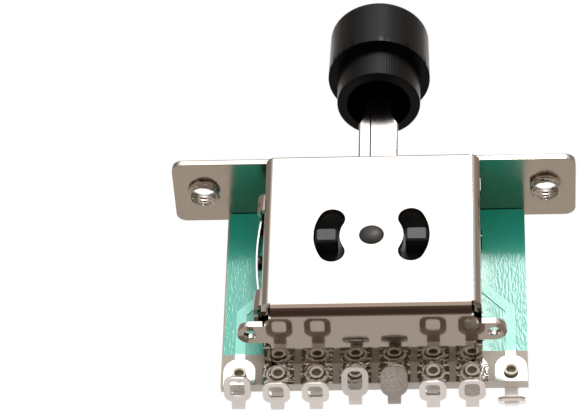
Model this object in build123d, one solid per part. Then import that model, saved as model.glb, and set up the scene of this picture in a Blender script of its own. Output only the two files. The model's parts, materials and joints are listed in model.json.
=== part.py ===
from build123d import *
import math
import os

# A three-position pickup selector switch for an electric guitar.
# A flat plate screws up under the guitar's face, and a folded steel box hangs below it.
# The box holds a moulded rotor on a pivot pin, and a circuit board closes its back.
# The origin is on the plate's top face, midway between the two mounting holes.
# +X runs along the plate, +Y towards the circuit board, +Z up along the lever.
# All sizes are in millimetres.

# Mounting plate
hole_spacing = 41.3
hole_bore = 2.9
collar_wall = 0.35
collar_height = 0.75
collar_mouth = 0.12
plate_end = 3.65
plate_depth = 10.1
plate_setback = 0.25
plate_thickness = 0.8
plate_corner = 1.3

# Detent sector, which sets how wide and how deep the box is
swing = 24.0
sector_radius = 13.05
sector_margin = 5.0
sector_stand = 0.25
sector_thickness = 3.0
sector_middle = -0.7
notch_depth = 0.35
notch_gap = 0.05
notch_radius = 0.9

# Box cover
sheet = 0.8
floor_gap = 0.28
front_rise = 0.25
side_bend = 1.15
bottom_bend = 1.3
bottom_gap = 0.1
floor_side_gap = 0.12
bottom_corner = 0.8
ear_stand = 2.9
ear_width = 3.0
ear_middle = -1.4
ear_hole = 1.5
ear_root = 0.6
ear_clear = 0.15

# Tabs of the cover
tab_width = 3.0
tab_gap = 0.05
fold_gap = 0.12
fold_reach = 1.6
fold_bend = 0.5
rear_tab_head = 4.8
rear_tab_foot = 4.5

# Pivot, rotor and kidney slots
pivot_drop = 12.2
pin_diameter = 2.9
pin_fit = 0.02
pin_proud = 0.3
pin_tail = 1.9
pin_head = 3.2
pin_head_height = 0.5
running_gap = 0.05
rotor_radius = 8.2
rotor_front_gap = 1.5
wiper_room = 1.4
kidney_radius = 5.3
kidney_gap = 0.25
kidney_overrun = 4.4
post_length = 2.6
post_height = 2.1
post_corner = 0.45
post_proud = 0.2
peg_diameter = 1.0
peg_height = 0.45

# Lever
lever_width = 4.8
lever_thickness = 1.6
lever_edge = 0.3
lever_shift = 0.45
lever_foot = 3.4
shoulder_low = 9.2
shoulder_rise = 1.4
tip_width = 3.6
seam_offset = 0.96
seam_width = 0.15
seam_depth = 0.25
slot_end_gap = 0.75
slot_side_gap = 0.3

# Knob
knob_stand = 2.05
knob_grip = 7.55
knob_lean = 5.0
knob_diameter = 12.6
knob_top_diameter = 12.2
knob_edge = 1.0
barrel_height = 7.9
neck_diameter = 10.25
neck_height = 4.8
neck_edge = 0.2
mouth_diameter = 7.9
mouth_depth = 0.9
funnel_diameter = 4.4
funnel_depth = 3.6

# Leaf spring and the bridges that hold it
spring_thickness = 0.2
spring_width = 3.0
spring_stand = 0.92
spring_bow = 0.92
spring_inset = 0.1
window_gap = 0.2
window_side_gap = 0.5
bridge_land = 0.77
bridge_height = 2.6
bridge_thickness = 0.5
bridge_width = 5.5
bridge_bend = 1.0

# Circuit board
board_shift = 0.09
board_side = 0.2
board_hang = 3.1
board_thickness = 1.2
board_gap = 0.1
board_corner = 0.4
track_thickness = 0.1

# Wipers and printed tracks
wiper_thickness = 0.2
wiper_width = 2.4
wiper_gap = 0.05
wiper_inner = 3.4
wiper_inset = 0.4
wiper_foot = 2.1
wiper_bend = 0.4
wiper_tip = 0.5
wiper_lift = 0.35
ring_width = 1.4
ring_half_angle = 75.0
segment_width = 1.6
segment_half_angle = 10.0
track_width = 1.2
track_wall_gap = 1.0
knee_drop = 3.8
knee_run = 3.8
knee_rise = 4.3

# Solder pads, eyelets and lugs
lug_count = 8
lug_pitch = 4.55
lug_shift = 0.17
pad_width = 3.75
pad_height = 3.9
eyelet_rise = 1.5
eyelet_diameter = 1.5
eyelet_wall = 0.2
eyelet_proud = 0.6
eyelet_depth = 0.7
eyelet_lip = 0.1
eyelet_flange = 2.5
eyelet_flange_height = 0.2
eyelet_gap = 0.02
lug_sheet = 0.5
lug_head = 3.0
stem_width = 1.55
arm_length = 3.2
arm_drop = 2.5
lug_bend = 0.55
eye_width = 3.15
eye_length = 3.5
eye_corner = 1.1
eye_hole_width = 1.7
eye_hole_length = 2.2
eye_hole_corner = 0.5
eye_hole_offset = 0.15
first_tilt = 12.0
raised_tilt = 38.0
lowered_tilt = -30.0
lowered_lift = 0.25
solder_height = 0.9
solder_lap = 0.15
large_solder_height = 1.1
large_solder_lap = 0.75

# Outlines worked out from the sizes above
plate_length = hole_spacing + 2 * plate_end
plate_under = -plate_thickness
plate_front = plate_setback - plate_depth / 2
plate_back = plate_setback + plate_depth / 2
sector_half_angle = swing + sector_margin
cover_width = 2 * (sector_radius - sector_stand)
cover_inner_x = cover_width / 2 - sheet
wall_middle = cover_width / 2 - sheet / 2
cover_front = plate_front - sheet
sector_drop = sector_radius * math.sin(math.radians(sector_half_angle + swing))
cover_height = pivot_drop + sector_drop + floor_gap + sheet
cover_bottom = plate_under - cover_height
side_foot = cover_bottom + bottom_bend
ear_reach = cover_width / 2 + ear_stand
pivot_z = plate_under - pivot_drop

# The board, and where its lugs hang
board_width = (lug_count - 1) * lug_pitch + pad_width + 2 * board_side
board_back = plate_back
board_front = board_back - board_thickness
board_top = plate_under - board_gap
board_bottom = cover_bottom - board_hang
track_face = board_front - track_thickness
eyelet_z = board_bottom + eyelet_rise
arm_z = board_bottom - arm_drop
leg_y = board_back + lug_sheet / 2
lug_back = board_back + lug_sheet

# The rotor's layers, its posts and its wipers
rotor_front = cover_front + sheet + rotor_front_gap
rotor_back = track_face - wiper_room
kidney_width = post_length + 2 * kidney_gap
kidney_half_angle = swing + kidney_overrun
wiper_outer = rotor_radius - wiper_inset

# The lever's shoulders and the knob's steps
shoulder_high = shoulder_low + shoulder_rise
neck_low = shoulder_high + knob_stand
knob_rim = neck_low + neck_height
knob_top = knob_rim + barrel_height
tip_height = neck_low + knob_grip

# The spring's line, and the window and bridges about it
window_half = math.sqrt(sector_radius**2 - cover_inner_x**2) + window_gap
bridge_offset = window_half + bridge_land + bridge_height / 2
spring_half = bridge_offset + bridge_height / 2 - spring_inset
spring_middle = cover_width / 2 + spring_stand
spring_radius = (spring_half**2 + spring_bow**2) / (2 * spring_bow)
dimple_radius = spring_middle - sector_radius + notch_depth - notch_gap

ON_BASE = (Align.CENTER, Align.CENTER, Align.MIN)


def across(sketch, y_low, y_high, height=pivot_z):
    """Extrude a sketch of X and Z, drawn about a height, from y_low to y_high."""
    plane = Plane(origin=(0, y_high, height), x_dir=(1, 0, 0), z_dir=(0, -1, 0))
    return extrude(plane * sketch, y_high - y_low)


def along_x(sketch, width, middle=0.0):
    """Extrude a sketch of Y and Z to a width about a middle in X."""
    plane = Plane(origin=(middle - width / 2, 0, 0), x_dir=(0, 1, 0), z_dir=(1, 0, 0))
    return extrude(plane * sketch, width)


def upright(sketch, z_low, z_high):
    """Extrude a sketch of X and Y from z_low to z_high."""
    return extrude(Pos(0, 0, z_low) * sketch, z_high - z_low)


def strip(points, radius, thickness):
    """Give the section of a bent sheet that follows points with rounded bends."""
    path = FilletPolyline(*points, radius=radius)
    return trace(path, thickness)


def lever_blank():
    """Give the lever's folded strip with no pivot hole and no seam."""
    wide = Pos(lever_shift, 0) * RectangleRounded(lever_width, lever_thickness, lever_edge)
    narrow = Pos(lever_shift, 0) * RectangleRounded(tip_width, lever_thickness, lever_edge)
    blank = upright(wide, pivot_z - lever_foot, shoulder_low)
    blank += loft([Pos(0, 0, shoulder_low) * wide, Pos(0, 0, shoulder_high) * narrow])
    blank += upright(narrow, shoulder_high, tip_height)
    return blank


def lever():
    """Give the steel lever: a strip folded double, with the seam on its front."""
    part = lever_blank()
    part -= across(Circle(pin_diameter / 2 + running_gap), -lever_thickness, lever_thickness)
    seam_low = pivot_z + rotor_radius
    seam = Rectangle(seam_width, 2 * seam_depth)
    place = Pos(lever_shift - seam_offset, -lever_thickness / 2, 0)
    part -= place * upright(seam, seam_low, tip_height)
    return part


def mounting_plate():
    """Give the plate, with two tapped collars, the lever's slot and the tabs' slots."""
    outline = RectangleRounded(plate_length, plate_depth, plate_corner)
    part = Pos(0, plate_setback, 0) * upright(outline, plate_under, 0)
    for side in (-1, 1):
        outline = Circle(hole_bore / 2 + collar_wall)
        collar = upright(outline, plate_under - collar_height, plate_under)
        part += Pos(side * hole_spacing / 2, 0, 0) * collar
    for side in (-1, 1):
        bore = upright(Circle(hole_bore / 2), plate_under - collar_height, 0)
        mouth = Pos(0, 0, plate_under - collar_height) * Cone(
            hole_bore / 2 + collar_mouth, hole_bore / 2, collar_mouth, align=ON_BASE
        )
        part -= Pos(side * hole_spacing / 2, 0, 0) * (bore + mouth)
    part -= upright(lever_slot(), plate_under, 0)
    tab_slot = Rectangle(sheet + 2 * tab_gap, tab_width + 2 * tab_gap)
    for side in (-1, 1):
        part -= Pos(side * wall_middle, 0, 0) * upright(tab_slot, plate_under, 0)
    return part


def lever_slot():
    """Give the outline of the slot that the lever swings in."""
    lean = math.radians(swing)
    reach = -pivot_z * math.tan(lean) + lever_width / 2 / math.cos(lean)
    width = lever_thickness + 2 * slot_side_gap
    return SlotOverall(2 * (reach + slot_end_gap), width)


def cover_walls():
    """Give the cover's front wall and side walls with their rounded corners."""
    depth = track_face - cover_front
    outer = Pos(0, cover_front + depth / 2) * Rectangle(cover_width, depth)
    outer = fillet(outer.vertices().sort_by(Axis.Y)[:2], side_bend)
    inner = Pos(0, cover_front + sheet + depth / 2) * Rectangle(2 * cover_inner_x, depth)
    inner = fillet(inner.vertices().sort_by(Axis.Y)[:2], side_bend - sheet)
    walls = upright(outer - inner, side_foot, plate_under + front_rise)
    under_plate = Pos(0, plate_front + plate_depth) * Rectangle(plate_length, 2 * plate_depth)
    walls -= upright(under_plate, plate_under, 0)
    foot_front = ear_middle + ear_width / 2 + ear_root + ear_clear
    foot = Rectangle(sheet, track_face - foot_front)
    for side in (-1, 1):
        place = Pos(side * wall_middle, (foot_front + track_face) / 2)
        walls += upright(place * foot, cover_bottom, side_foot)
    return walls


def cover_floor():
    """Give the cover's bottom wall, its two eared ends and the bend up to the front."""
    half = cover_inner_x - floor_side_gap
    front = cover_front + bottom_bend
    back = board_front - bottom_gap
    middle = (front + back) / 2
    floor = Pos(0, middle) * Rectangle(2 * half, back - front)
    floor = fillet(floor.vertices().sort_by(Axis.Y)[-2:], bottom_corner)
    ears = Pos(0, ear_middle) * SlotOverall(2 * ear_reach, ear_width)
    blank = floor + ears
    roots = [v for v in blank.vertices() if abs(abs(v.X) - half) < 0.01 and v.Y > front + 0.5]
    roots = [v for v in roots if abs(abs(v.Y - ear_middle) - ear_width / 2) < 0.01]
    blank = fillet(roots, ear_root)
    for side in (-1, 1):
        blank -= Pos(side * (ear_reach - ear_width / 2), ear_middle) * Circle(ear_hole / 2)
    flat = upright(blank, cover_bottom, cover_bottom + sheet)
    ring = Circle(bottom_bend) - Circle(bottom_bend - sheet)
    quarter = Pos(-bottom_bend / 2, -bottom_bend / 2) * Rectangle(bottom_bend, bottom_bend)
    bend = Pos(front, side_foot) * (ring & quarter)
    return flat + along_x(bend, cover_width - 2 * side_bend)


def kidney():
    """Give one kidney slot's outline, to the right of the pivot."""
    arc = CenterArc((0, 0), kidney_radius, -kidney_half_angle, 2 * kidney_half_angle)
    return SlotArc(arc, kidney_width)


def bridge():
    """Give one bridge that is pushed out of the left wall to hold the leaf spring."""
    near = bridge_offset - bridge_height / 2
    leaf_radius = spring_radius + spring_thickness / 2
    leaf_face = spring_radius - spring_middle - math.sqrt(leaf_radius**2 - near**2)
    outside = leaf_face - bridge_thickness / 2
    half = (bridge_width - bridge_thickness) / 2
    points = [
        (-wall_middle, sector_middle - half),
        (outside, sector_middle - half),
        (outside, sector_middle + half),
        (-wall_middle, sector_middle + half),
    ]
    return strip(points, bridge_bend, bridge_thickness)


def box_cover():
    """Give the folded steel cover, with its slots, window, bridges, ears and tabs."""
    part = cover_walls() + cover_floor()
    wall = (cover_front - sheet, cover_front + 2 * sheet)
    part -= across(Circle(pin_diameter / 2 + pin_fit), *wall)
    part -= across(kidney(), *wall)
    part -= across(mirror(kidney(), about=Plane.YZ), *wall)
    half_depth = sector_thickness / 2 + window_side_gap
    left = Pos(-wall_middle, sector_middle)
    window = left * Rectangle(1.5 * sheet, 2 * half_depth)
    part -= upright(window, pivot_z - window_half, pivot_z + window_half)
    opening = left * Rectangle(1.5 * sheet, bridge_width - 2 * bridge_thickness)
    for side in (-1, 1):
        low = pivot_z + side * bridge_offset - bridge_height / 2
        part -= upright(opening, low, low + bridge_height)
        part += upright(bridge(), low, low + bridge_height)
    for side in (-1, 1):
        top_tab = Pos(side * wall_middle, 0) * Rectangle(sheet, tab_width)
        part += upright(top_tab, plate_under, 0)
        for middle in rear_tab_heights():
            part += upright(rear_tab(side), middle - tab_width / 2, middle + tab_width / 2)
    return part


def rear_tab_heights():
    """Give the middle heights of the two tabs behind each side wall."""
    return (plate_under - rear_tab_head, cover_bottom + rear_tab_foot)


def rear_tab(side):
    """Give the section of a tab that passes through the board and folds outwards."""
    fold_y = board_back + sheet / 2
    points = [
        (side * wall_middle, board_front - sheet),
        (side * wall_middle, fold_y),
        (side * (cover_width / 2 + fold_reach), fold_y),
    ]
    return strip(points, fold_bend, sheet)


def circuit_board():
    """Give the board, with holes for the pin and eyelets and slots for the tabs."""
    height = board_top - board_bottom
    outline = Pos(board_shift, board_bottom + height / 2) * Rectangle(board_width, height)
    outline = chamfer(outline.vertices().sort_by(Axis.Y)[-2:], board_corner)
    part = across(outline, board_front, board_back, 0)
    part -= across(Circle(pin_tail / 2 + pin_fit), board_front, board_back)
    for x in lug_places():
        hole = Pos(x, eyelet_z) * Circle(eyelet_diameter / 2 + eyelet_gap)
        part -= across(hole, board_front, board_back, 0)
    slot = Rectangle(sheet + 2 * fold_gap, tab_width + 2 * fold_gap)
    for side in (-1, 1):
        for middle in rear_tab_heights():
            place = Pos(side * wall_middle, middle)
            part -= across(place * slot, board_front, board_back, 0)
    return part


def lug_places():
    """Give the X of each solder lug, from left to right."""
    return [lug_shift + (i - (lug_count - 1) / 2) * lug_pitch for i in range(lug_count)]


def pad(x):
    """Give the outline of one pad, round at its top and square at the board's edge."""
    radius = pad_width / 2
    top = board_bottom + pad_height
    straight = pad_height - radius
    outline = Pos(x, board_bottom + straight / 2) * Rectangle(pad_width, straight)
    outline += Pos(x, top - radius) * Circle(radius)
    return outline - Pos(x, eyelet_z) * Circle(eyelet_diameter / 2 + eyelet_gap)


def track(points):
    """Give the outline of one printed track that runs through points."""
    outline = Sketch()
    for start, end in zip(points, points[1:]):
        middle = ((start[0] + end[0]) / 2, (start[1] + end[1]) / 2)
        length = math.dist(start, end)
        angle = math.degrees(math.atan2(end[1] - start[1], end[0] - start[0]))
        outline += Pos(*middle) * Rot(0, 0, angle) * SlotCenterToCenter(length, track_width)
    return outline


def segment(radius, angle, half_angle, width):
    """Give the outline of a curved contact about the pivot."""
    arc = CenterArc((0, pivot_z), radius, angle - half_angle, 2 * half_angle)
    return SlotArc(arc, width)


def side_tracks(side):
    """Give the four tracks and the curved contacts on one side of the pivot."""
    pad_top = board_bottom + pad_height - track_width / 2
    outer = wiper_outer
    middle = 0 if side > 0 else 180
    low_contact = polar(outer, middle - side * swing)
    high_contact = polar(outer, middle + side * swing)
    x1, x2, x3, x4 = sorted(lug_places(), key=lambda x: -side * x)[:4]
    knee = pivot_z - knee_drop
    clear = side * (cover_inner_x - track_wall_gap - track_width / 2)
    rise = abs(clear - x2)
    turned = (x1 - side * knee_run, knee + knee_rise)
    return [
        track([(x1, pad_top), (x1, knee), turned, high_contact]),
        track([(x2, pad_top), (clear, pad_top + rise), (clear, pivot_z), (side * outer, pivot_z)]),
        track([(x3, pad_top), (x3, low_contact[1]), low_contact]),
        track([(x4, pad_top), (x4, pivot_z - wiper_inner)]),
        segment(outer, middle - swing, segment_half_angle, segment_width),
        segment(outer, middle, segment_half_angle, segment_width),
        segment(outer, middle + swing, segment_half_angle, segment_width),
        segment(wiper_inner, middle, ring_half_angle, ring_width),
    ]


def contact_tracks():
    """Give the pads, the tracks and the curved contacts, as copper on the board."""
    copper = [pad(x) for x in lug_places()]
    copper += side_tracks(-1) + side_tracks(1)
    whole = Sketch() + copper
    return across(whole, track_face, board_front, 0)


def polar(radius, angle):
    """Give the X and Z of a point about the pivot."""
    turn = math.radians(angle)
    return (radius * math.cos(turn), pivot_z + radius * math.sin(turn))


def pivot_pin():
    """Give the stepped pin, domed in front and riveted over behind the board."""
    radius = pin_diameter / 2
    front = cover_front
    part = across(Circle(radius), front, board_front)
    dome_radius = (radius**2 + pin_proud**2) / (2 * pin_proud)
    dome = Pos(0, front - pin_proud + dome_radius, pivot_z) * Sphere(dome_radius)
    part += dome & across(Circle(radius), front - pin_proud, front)
    part += across(Circle(pin_tail / 2), board_front, board_back)
    part += across(Circle(pin_head / 2), board_back, board_back + pin_head_height)
    return part


def sector():
    """Give the notched detent sector's outline, to the left of the pivot."""
    half = math.radians(sector_half_angle)
    far = 2 * sector_radius
    wedge = Polygon(
        (0, 0),
        (-far * math.cos(half), far * math.sin(half)),
        (-far * math.cos(half), -far * math.sin(half)),
        align=None,
    )
    outline = Circle(sector_radius) & wedge
    notch_centre = sector_radius - notch_depth + notch_radius
    for turn in (-swing, 0, swing):
        outline -= Rot(0, 0, turn) * Pos(-notch_centre, 0) * Circle(notch_radius)
    return outline


def rotor():
    """Give the moulded rotor: hub, detent sector, two front posts and rear pegs."""
    part = across(Circle(rotor_radius), rotor_front, rotor_back)
    half = sector_thickness / 2
    part += across(sector(), sector_middle - half, sector_middle + half)
    post = RectangleRounded(post_length, post_height, post_corner)
    for side in (-1, 1):
        solid = across(Pos(side * kidney_radius, 0) * post, cover_front - post_proud, rotor_front)
        tip = solid.faces().sort_by(Axis.Y)[0]
        part += chamfer(tip.edges(), post_corner / 2)
        peg = Pos(side * wiper_seat(), 0) * Circle(peg_diameter / 2)
        part += across(peg, rotor_back, rotor_back + peg_height)
    part -= lever_blank()
    part -= across(Circle(pin_diameter / 2 + running_gap), rotor_front, rotor_back)
    return part


def wiper_seat():
    """Give the distance from the pivot to the middle of a wiper's flat foot."""
    return (wiper_inner + wiper_outer) / 2


def wiper(side):
    """Give one wiper: a bowed strip riveted to the rotor, with both ends on tracks."""
    foot_y = rotor_back + wiper_thickness / 2
    tip_y = track_face - wiper_gap - wiper_thickness / 2
    middle = wiper_seat()
    points = [
        (wiper_inner - wiper_tip, tip_y - wiper_lift),
        (wiper_inner, tip_y),
        (middle - wiper_foot / 2, foot_y),
        (middle + wiper_foot / 2, foot_y),
        (wiper_outer, tip_y),
        (wiper_outer + wiper_tip, tip_y - wiper_lift),
    ]
    section = strip(points, wiper_bend, wiper_thickness)
    part = upright(section, pivot_z - wiper_width / 2, pivot_z + wiper_width / 2)
    hole = Pos(middle, 0) * Circle(peg_diameter / 2 + pin_fit)
    part -= across(hole, rotor_back, track_face)
    if side < 0:
        part = mirror(part, about=Plane.YZ)
    return part


def detent_spring():
    """Give the bowed leaf spring, with the dimple that drops into the rotor's notches."""
    bow = ThreePointArc(
        (spring_bow - spring_middle, -spring_half),
        (-spring_middle, 0),
        (spring_bow - spring_middle, spring_half),
    )
    low = sector_middle - spring_width / 2
    leaf = across(trace(bow, spring_thickness), low, low + spring_width)
    centre = Pos(-spring_middle, sector_middle, pivot_z)
    inner_half = centre * Box(
        dimple_radius + spring_thickness / 2,
        2 * dimple_radius,
        2 * dimple_radius,
        align=(Align.MIN, Align.CENTER, Align.CENTER),
    )
    dome = (centre * Sphere(dimple_radius) & inner_half).solid()
    return leaf + dome - centre * Sphere(dimple_radius - spring_thickness)


def knob():
    """Give the knob: a tapered barrel on a narrower neck, hollow round the lever's tip."""
    outline = [
        (0, neck_low),
        (neck_diameter / 2, neck_low),
        (neck_diameter / 2, knob_rim),
        (knob_diameter / 2, knob_rim),
        (knob_top_diameter / 2, knob_top),
        (0, knob_top),
    ]
    face = make_face(Polyline(*outline, close=True))
    part = revolve(Plane.XZ * face, Axis.Z)
    top = part.edges().filter_by(GeomType.CIRCLE).sort_by(Axis.Z)[-1]
    part = fillet(top, knob_edge)
    rims = part.edges().filter_by(GeomType.CIRCLE).filter_by(lambda e: abs(e.center().Z - neck_low) < 0.01)
    part = fillet(rims, neck_edge)
    mouth = Pos(0, 0, neck_low) * Cylinder(mouth_diameter / 2, mouth_depth, align=ON_BASE)
    funnel = Pos(0, 0, neck_low + mouth_depth) * Cone(
        mouth_diameter / 2, funnel_diameter / 2, funnel_depth, align=ON_BASE
    )
    body = Pos(lever_shift, 0, knob_rim) * Rot(-knob_lean, 0, 0) * Pos(0, 0, -knob_rim) * (part - mouth - funnel)
    return body - lever_blank()


def eyelet(x):
    """Give one half-hollow rivet, rolled over in front and headed behind a lug."""
    tube = eyelet_diameter / 2
    front = board_front - eyelet_proud
    back = lug_back + eyelet_flange_height
    section = Polyline(
        (0, back),
        (0, front + eyelet_depth),
        (tube - eyelet_wall, front + eyelet_depth),
        (tube - eyelet_wall, front + eyelet_lip),
        (tube, front),
        (tube + eyelet_lip, front + eyelet_lip),
        (tube + eyelet_lip, front + 2 * eyelet_lip),
        (tube, front + 3 * eyelet_lip),
        (tube, lug_back),
        (eyelet_flange / 2, lug_back),
        (eyelet_flange / 2, back),
        close=True,
    )
    return Pos(x, 0, eyelet_z) * revolve(make_face(section), Axis.Y)


def lug_shape(index):
    """Give how a lug's arm is bent: its tilt in degrees and how far its bend is lifted."""
    if index == 1:
        return first_tilt, 0.0
    if index in (4, 5):
        return raised_tilt, 0.0
    if index == lug_count:
        return lowered_tilt, lowered_lift
    return 0.0, 0.0


def eye_place(x, index):
    """Give the place of a lug's eye, with its local X and Y in the plane of the eye."""
    tilt, lift = lug_shape(index)
    return Pos(x, leg_y, arm_z + lift) * Rot(-tilt, 0, 0) * Pos(0, -arm_length, 0)


def eye_outline():
    """Give the outline of a lug's eye about its own middle."""
    return RectangleRounded(eye_width, eye_length, eye_corner)


def solder_lug(x, index):
    """Give one lug: a head behind the board, a leg, a bent arm and a wire's eye."""
    tilt, lift = lug_shape(index)
    turn = math.radians(tilt)
    reach = arm_length - eye_length / 2 + eye_corner / 2
    end = (leg_y - reach * math.cos(turn), arm_z + lift + reach * math.sin(turn))
    section = strip([(leg_y, eyelet_z), (leg_y, arm_z + lift), end], lug_bend, lug_sheet)
    part = along_x(section, stem_width, x)
    head = Pos(x, eyelet_z) * Circle(lug_head / 2)
    part += across(head, board_back, lug_back, 0)
    hole = RectangleRounded(eye_hole_width, eye_hole_length, eye_hole_corner)
    part += eye_place(x, index) * upright(eye_outline(), -lug_sheet / 2, lug_sheet / 2)
    part -= eye_place(x, index) * Pos(0, -eye_hole_offset, 0) * upright(hole, -lug_sheet, lug_sheet)
    bore = Pos(x, eyelet_z) * Circle(eyelet_diameter / 2 + eyelet_gap)
    return part - across(bore, board_back, lug_back, 0)


def solder_bead(x, index):
    """Give the solder in a lug's eye, a lens proud of both faces; lug 5's is a large drop."""
    lap, whole = (large_solder_lap, large_solder_height) if index == 5 else (solder_lap, solder_height)
    half = eye_hole_length / 2 + lap
    height = whole / 2
    radius = (half**2 + height**2) / (2 * height)
    lens = Pos(0, 0, height - radius) * Sphere(radius) & Pos(0, 0, radius - height) * Sphere(radius)
    within = upright(eye_outline(), -whole, whole)
    drop = Pos(0, -eye_hole_offset, 0) * lens & within
    return eye_place(x, index) * drop - solder_lug(x, index)


def pieces():
    """Give every piece by its name."""
    found = {
        "mounting_plate": mounting_plate(),
        "box_cover": box_cover(),
        "circuit_board": circuit_board(),
        "contact_tracks": contact_tracks(),
        "pivot_pin": pivot_pin(),
        "rotor": rotor(),
        "wiper_left": wiper(-1),
        "wiper_right": wiper(1),
        "detent_spring": detent_spring(),
        "lever": lever(),
        "knob": knob(),
    }
    for index, x in enumerate(lug_places(), start=1):
        found[f"eyelet_{index}"] = eyelet(x)
        found[f"solder_lug_{index}"] = solder_lug(x, index)
        if index in (5, 7):
            found[f"solder_bead_{index}"] = solder_bead(x, index)
    return found


os.makedirs("parts", exist_ok=True)
for name, piece in pieces().items():
    export_step(piece, f"parts/{name}.step")
    print(name, round(piece.volume, 2))
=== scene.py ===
"""Looks of a guitar's pickup selector switch: finishes, broken edges, solder, light and camera.

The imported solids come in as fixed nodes, in metres, with the lever along +Z and the board
towards +Y. Each visible solid is shown by a copy with its edges broken, in a finish that is
named for what the real surface is.
"""

import json
import logging
import math
from dataclasses import dataclass, field, replace
from enum import Enum

import bpy
from bpy.types import Material, Node, NodeSocket, NodeTree, Object
from mathutils import Matrix, Vector

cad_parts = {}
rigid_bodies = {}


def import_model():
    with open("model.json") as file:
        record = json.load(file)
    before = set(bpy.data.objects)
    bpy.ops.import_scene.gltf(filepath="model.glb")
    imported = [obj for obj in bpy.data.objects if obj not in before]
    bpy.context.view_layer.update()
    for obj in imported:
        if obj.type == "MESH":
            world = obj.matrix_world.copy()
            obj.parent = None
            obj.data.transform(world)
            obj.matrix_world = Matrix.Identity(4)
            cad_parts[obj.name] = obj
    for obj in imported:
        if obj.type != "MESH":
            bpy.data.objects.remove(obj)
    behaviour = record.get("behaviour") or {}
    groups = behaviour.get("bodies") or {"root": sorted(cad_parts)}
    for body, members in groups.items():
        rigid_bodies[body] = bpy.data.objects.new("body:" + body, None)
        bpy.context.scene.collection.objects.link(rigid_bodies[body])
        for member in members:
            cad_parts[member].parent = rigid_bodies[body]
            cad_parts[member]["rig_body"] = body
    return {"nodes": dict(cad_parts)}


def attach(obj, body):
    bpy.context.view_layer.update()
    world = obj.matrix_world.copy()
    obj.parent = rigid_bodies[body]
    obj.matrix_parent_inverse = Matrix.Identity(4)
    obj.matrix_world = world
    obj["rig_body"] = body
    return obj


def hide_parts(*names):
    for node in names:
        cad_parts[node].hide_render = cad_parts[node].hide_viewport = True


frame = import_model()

MM = 0.001
# Corners of a CAD mesh closer than this are one corner.
MERGE_MM = 0.001
# Neighbouring faces that turn less than this are one face.
FLAT_DEG = 0.5
# Nearly all values of a noise lie between these.
NOISE_LOW, NOISE_HIGH = 0.3, 0.7
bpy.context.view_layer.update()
LOG = logging.getLogger("selector_switch")


def linear(code: str) -> tuple[float, float, float, float]:
    """Turn an sRGB hex colour into the linear colour that shaders take.

    Args:
        code: a colour such as "#1c8a6e".

    Returns:
        Red, green and blue in linear light, and an alpha of 1.
    """
    parts = [int(code[i : i + 2], 16) / 255 for i in (1, 3, 5)]
    light = [c / 12.92 if c <= 0.04045 else ((c + 0.055) / 1.055) ** 2.4 for c in parts]
    return (*light, 1.0)


def add_node(
    tree: NodeTree, kind: str, inputs: dict[str | int, object] | None = None, **settings: object
) -> Node:
    """Add a shader node with its settings, and link or set its inputs.

    Args:
        tree: the node tree that the node goes in.
        kind: the shader node's type, such as "Math".
        inputs: values or output sockets by the input's name or number.
        **settings: properties of the node, such as operation.

    Returns:
        The new node.
    """
    node = tree.nodes.new(f"ShaderNode{kind}")
    for name, value in settings.items():
        setattr(node, name, value)
    for name, value in (inputs or {}).items():
        if isinstance(value, NodeSocket):
            tree.links.new(value, node.inputs[name])
        else:
            node.inputs[name].default_value = value
    return node


class Grain(Enum):
    """How a surface's fine relief runs, as stretches of its noise along X, Y and Z."""

    EVEN = (1.0, 1.0, 1.0)
    ROLLED_ALONG_Z = (1.0, 1.0, 0.08)
    FLOWED = (1.0, 1.0, 0.3)


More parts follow.
